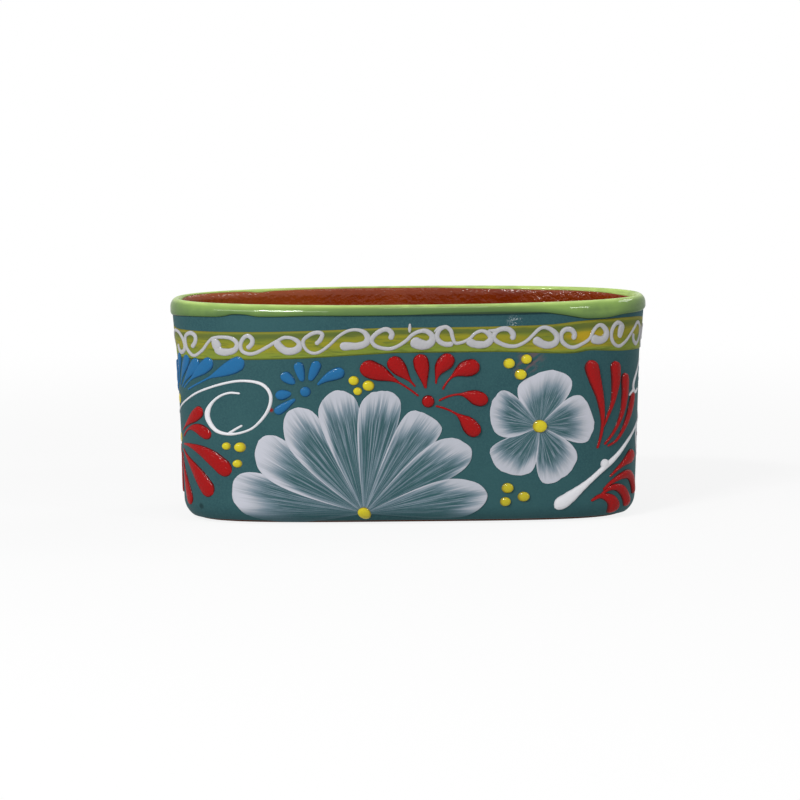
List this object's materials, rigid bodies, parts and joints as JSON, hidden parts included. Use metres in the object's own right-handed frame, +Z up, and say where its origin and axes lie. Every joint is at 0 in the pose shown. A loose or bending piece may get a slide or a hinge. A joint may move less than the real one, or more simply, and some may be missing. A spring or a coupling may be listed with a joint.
{
  "type": "flower pot",
  "caption": "Oval ceramic window-sill flower pot with a round lip and a drain hole, dressed with coats of slip and glaze and a raised slip-trailed pattern of flowers, fans and scrolls.",
  "frame": {"origin": "on the shelf, under the middle of the pot", "axes": "+Z up, +X along the pot's length, and the front faces -Y"},
  "size_m": [0.28, 0.1282, 0.128],
  "materials": {
    "clay": "bare fired terracotta",
    "teal_slip": "matte blue-green slip",
    "inside_glaze": "glossy clear glaze over terracotta",
    "lip_glaze": "glossy grass-green glaze",
    "lime_band": "brushed mottled lime paint",
    "white_slip": "satin white trailed slip",
    "petal_wash": "streaky white brushwork",
    "red_slip": "glossy red trailed slip",
    "blue_slip": "satin blue trailed slip",
    "yellow_slip": "satin yellow trailed slip"
  },
  "bodies": {
    "root": {"clay_body": "clay", "slip_coat": "teal_slip", "inside_glaze": "inside_glaze", "lip_glaze": "lip_glaze", "border_band": "lime_band", "border_scrolls": "white_slip", "front_large_flower_petals": "petal_wash", "front_large_flower_centre": "yellow_slip", "front_small_flower_petals": "petal_wash", "front_small_flower_centre": "yellow_slip", "front_red_fan": "red_slip", "front_blue_rosette": "blue_slip", "front_corner_blue_fan": "blue_slip", "front_corner_blue_fan_centre": "yellow_slip", "front_corner_red_fan": "red_slip", "front_corner_red_fan_centre": "yellow_slip", "front_upper_red_spray": "red_slip", "front_lower_red_spray": "red_slip", "front_white_vine": "white_slip", "front_white_hook": "white_slip", "front_left_yellow_dot_1": "yellow_slip", "front_left_yellow_dot_2": "yellow_slip", "front_left_yellow_dot_3": "yellow_slip", "front_middle_yellow_dot_1": "yellow_slip", "front_middle_yellow_dot_2": "yellow_slip", "front_middle_yellow_dot_3": "yellow_slip", "front_upper_yellow_dot_1": "yellow_slip", "front_upper_yellow_dot_2": "yellow_slip", "front_upper_yellow_dot_3": "yellow_slip", "front_lower_yellow_dot_1": "yellow_slip", "front_lower_yellow_dot_2": "yellow_slip", "front_lower_yellow_dot_3": "yellow_slip", "back_large_flower_petals": "petal_wash", "back_large_flower_centre": "yellow_slip", "back_small_flower_petals": "petal_wash", "back_small_flower_centre": "yellow_slip", "back_red_fan": "red_slip", "back_blue_rosette": "blue_slip", "back_corner_blue_fan": "blue_slip", "back_corner_blue_fan_centre": "yellow_slip", "back_corner_red_fan": "red_slip", "back_corner_red_fan_centre": "yellow_slip", "back_upper_red_spray": "red_slip", "back_lower_red_spray": "red_slip", "back_white_vine": "white_slip", "back_white_hook": "white_slip", "back_left_yellow_dot_1": "yellow_slip", "back_left_yellow_dot_2": "yellow_slip", "back_left_yellow_dot_3": "yellow_slip", "back_middle_yellow_dot_1": "yellow_slip", "back_middle_yellow_dot_2": "yellow_slip", "back_middle_yellow_dot_3": "yellow_slip", "back_upper_yellow_dot_1": "yellow_slip", "back_upper_yellow_dot_2": "yellow_slip", "back_upper_yellow_dot_3": "yellow_slip", "back_lower_yellow_dot_1": "yellow_slip", "back_lower_yellow_dot_2": "yellow_slip", "back_lower_yellow_dot_3": "yellow_slip"}
  },
  "joints": []
}
